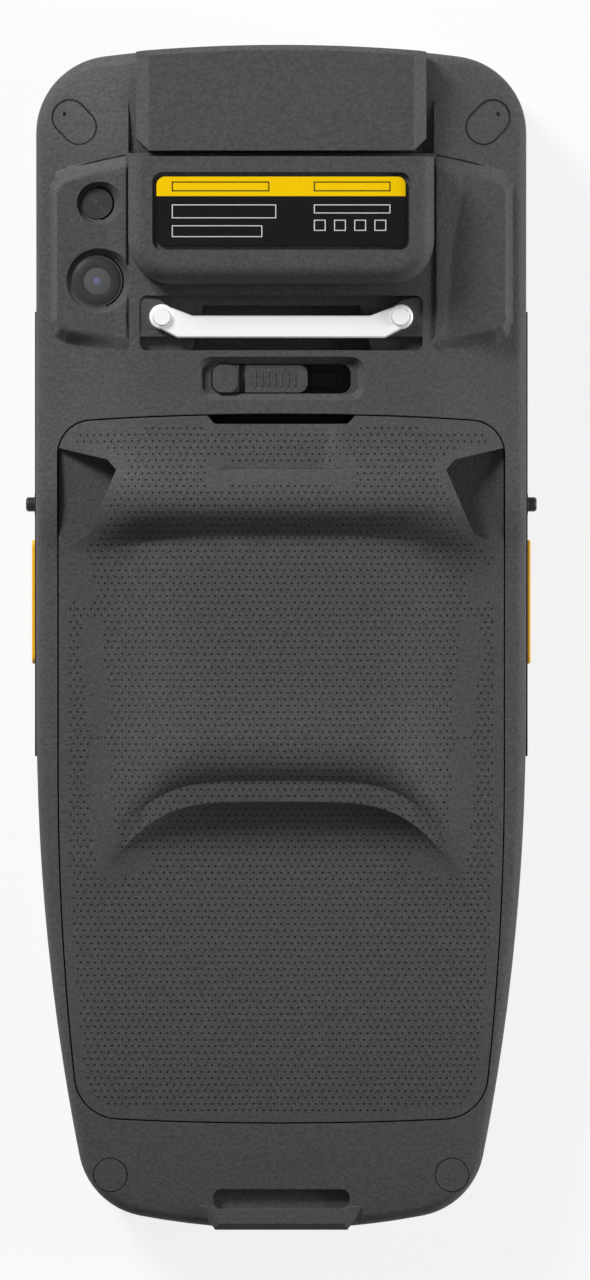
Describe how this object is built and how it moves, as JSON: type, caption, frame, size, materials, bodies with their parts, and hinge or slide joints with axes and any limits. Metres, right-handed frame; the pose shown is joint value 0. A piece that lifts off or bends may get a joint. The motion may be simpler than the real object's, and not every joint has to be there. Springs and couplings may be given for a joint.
{
  "type": "barcode data terminal",
  "caption": "Handheld barcode data terminal lying face down, with scanner hump, camera, strap bar, latched battery cover and side scan keys.",
  "frame": {"origin": "under the middle of the terminal, on the plane of the front rim that it lies on", "axes": "+X across the terminal, +Y along it towards the scanner end, +Z out of the back"},
  "size_m": [0.0742, 0.1712, 0.0242],
  "materials": {
    "housing_plastic": "fine moulded grain",
    "cover_plastic": "fine grain with small grip dots",
    "grip_rubber": "soft matt rubber",
    "yellow_plastic": "satin yellow",
    "key_plastic": "satin dark grey",
    "strap_steel": "bright satin",
    "stud_steel": "black oxide",
    "screw_steel": "plain",
    "label_film": "glossy black with a yellow band",
    "dark_glass": "polished, dark",
    "lens_glass": "clear flash lens",
    "black_plastic": "black moulding",
    "circuit_board": "green lacquer",
    "contact_gold": "gold plated",
    "battery_sleeve": "dark sleeve"
  },
  "bodies": {
    "housing": {"battery_contacts": "contact_gold", "battery_pack": "battery_sleeve", "camera_glass": "dark_glass", "camera_module": "black_plastic", "display_glass": "dark_glass", "flash_led": "black_plastic", "flash_lens": "lens_glass", "front_housing": "housing_plastic", "housing_screws": "screw_steel", "keypad_board": "circuit_board", "keypad_mat": "grip_rubber", "label_plate": "label_film", "latch_detent": "screw_steel", "lcd_module": "black_plastic", "left_side_rail": "grip_rubber", "left_side_stud": "stud_steel", "lower_screw_caps": "grip_rubber", "main_board": "circuit_board", "rear_housing": "housing_plastic", "right_side_rail": "grip_rubber", "right_side_stud": "stud_steel", "scan_engine": "black_plastic", "scan_window": "dark_glass", "scanner_cap": "housing_plastic", "side_switches": "black_plastic", "speaker": "black_plastic", "strap_bar": "strap_steel", "strap_screws": "screw_steel", "upper_screw_caps": "grip_rubber", "usb_socket": "screw_steel", "vibration_motor": "screw_steel"},
    "battery_cover": {"battery_cover": "cover_plastic", "cover_seal": "grip_rubber"},
    "latch": {"latch_slider": "housing_plastic", "latch_bolt": "screw_steel"},
    "right_scan_key": {"right_scan_key": "yellow_plastic"},
    "left_scan_key": {"left_scan_key": "yellow_plastic"},
    "usb_cover": {"usb_cover": "grip_rubber"},
    "key_row1_column1": {"key_row1_column1": "key_plastic"},
    "key_row1_column3": {"key_row1_column3": "key_plastic"},
    "key_row2_column1": {"key_row2_column1": "key_plastic"},
    "key_row2_column2": {"key_row2_column2": "key_plastic"},
    "key_row2_column3": {"key_row2_column3": "key_plastic"},
    "key_row3_column1": {"key_row3_column1": "key_plastic"},
    "key_row3_column2": {"key_row3_column2": "key_plastic"},
    "key_row3_column3": {"key_row3_column3": "key_plastic"},
    "key_row4_column1": {"key_row4_column1": "key_plastic"},
    "key_row4_column2": {"key_row4_column2": "key_plastic"},
    "key_row4_column3": {"key_row4_column3": "key_plastic"},
    "key_row5_column1": {"key_row5_column1": "key_plastic"},
    "key_row5_column2": {"key_row5_column2": "key_plastic"},
    "key_row5_column3": {"key_row5_column3": "key_plastic"},
    "key_scan": {"key_scan": "yellow_plastic"}
  },
  "joints": [
    {"name": "cover_hinge", "type": "hinge", "parent": "housing", "child": "battery_cover", "pos_m": [0, -0.0701, 0.0134], "axis": [1, 0, 0], "range_deg": [0, 35]},
    {"name": "latch_slide", "type": "slide", "parent": "housing", "child": "latch", "axis": [1, 0, 0], "range_m": [0, 0.006]},
    {"name": "usb_cover_hinge", "type": "hinge", "parent": "housing", "child": "usb_cover", "pos_m": [0.0077, -0.0856, 0.0052], "axis": [0, 0, 1], "range_deg": [0, 95]},
    {"name": "right_scan_key_press", "type": "slide", "parent": "housing", "child": "right_scan_key", "axis": [-1, 0, 0], "range_m": [0, 0.0005], "stiffness_N_per_m": 3000},
    {"name": "left_scan_key_press", "type": "slide", "parent": "housing", "child": "left_scan_key", "axis": [1, 0, 0], "range_m": [0, 0.0005], "stiffness_N_per_m": 3000},
    {"name": "key_row1_column1_press", "type": "slide", "parent": "housing", "child": "key_row1_column1", "axis": [0, 0, 1], "range_m": [0, 0.0004], "stiffness_N_per_m": 2500},
    {"name": "key_row1_column3_press", "type": "slide", "parent": "housing", "child": "key_row1_column3", "axis": [0, 0, 1], "range_m": [0, 0.0004], "stiffness_N_per_m": 2500},
    {"name": "key_row2_column1_press", "type": "slide", "parent": "housing", "child": "key_row2_column1", "axis": [0, 0, 1], "range_m": [0, 0.0004], "stiffness_N_per_m": 2500},
    {"name": "key_row2_column2_press", "type": "slide", "parent": "housing", "child": "key_row2_column2", "axis": [0, 0, 1], "range_m": [0, 0.0004], "stiffness_N_per_m": 2500},
    {"name": "key_row2_column3_press", "type": "slide", "parent": "housing", "child": "key_row2_column3", "axis": [0, 0, 1], "range_m": [0, 0.0004], "stiffness_N_per_m": 2500},
    {"name": "key_row3_column1_press", "type": "slide", "parent": "housing", "child": "key_row3_column1", "axis": [0, 0, 1], "range_m": [0, 0.0004], "stiffness_N_per_m": 2500},
    {"name": "key_row3_column2_press", "type": "slide", "parent": "housing", "child": "key_row3_column2", "axis": [0, 0, 1], "range_m": [0, 0.0004], "stiffness_N_per_m": 2500},
    {"name": "key_row3_column3_press", "type": "slide", "parent": "housing", "child": "key_row3_column3", "axis": [0, 0, 1], "range_m": [0, 0.0004], "stiffness_N_per_m": 2500},
    {"name": "key_row4_column1_press", "type": "slide", "parent": "housing", "child": "key_row4_column1", "axis": [0, 0, 1], "range_m": [0, 0.0004], "stiffness_N_per_m": 2500},
    {"name": "key_row4_column2_press", "type": "slide", "parent": "housing", "child": "key_row4_column2", "axis": [0, 0, 1], "range_m": [0, 0.0004], "stiffness_N_per_m": 2500},
    {"name": "key_row4_column3_press", "type": "slide", "parent": "housing", "child": "key_row4_column3", "axis": [0, 0, 1], "range_m": [0, 0.0004], "stiffness_N_per_m": 2500},
    {"name": "key_row5_column1_press", "type": "slide", "parent": "housing", "child": "key_row5_column1", "axis": [0, 0, 1], "range_m": [0, 0.0004], "stiffness_N_per_m": 2500},
    {"name": "key_row5_column2_press", "type": "slide", "parent": "housing", "child": "key_row5_column2", "axis": [0, 0, 1], "range_m": [0, 0.0004], "stiffness_N_per_m": 2500},
    {"name": "key_row5_column3_press", "type": "slide", "parent": "housing", "child": "key_row5_column3", "axis": [0, 0, 1], "range_m": [0, 0.0004], "stiffness_N_per_m": 2500},
    {"name": "key_scan_press", "type": "slide", "parent": "housing", "child": "key_scan", "axis": [0, 0, 1], "range_m": [0, 0.0004], "stiffness_N_per_m": 2500}
  ]
}
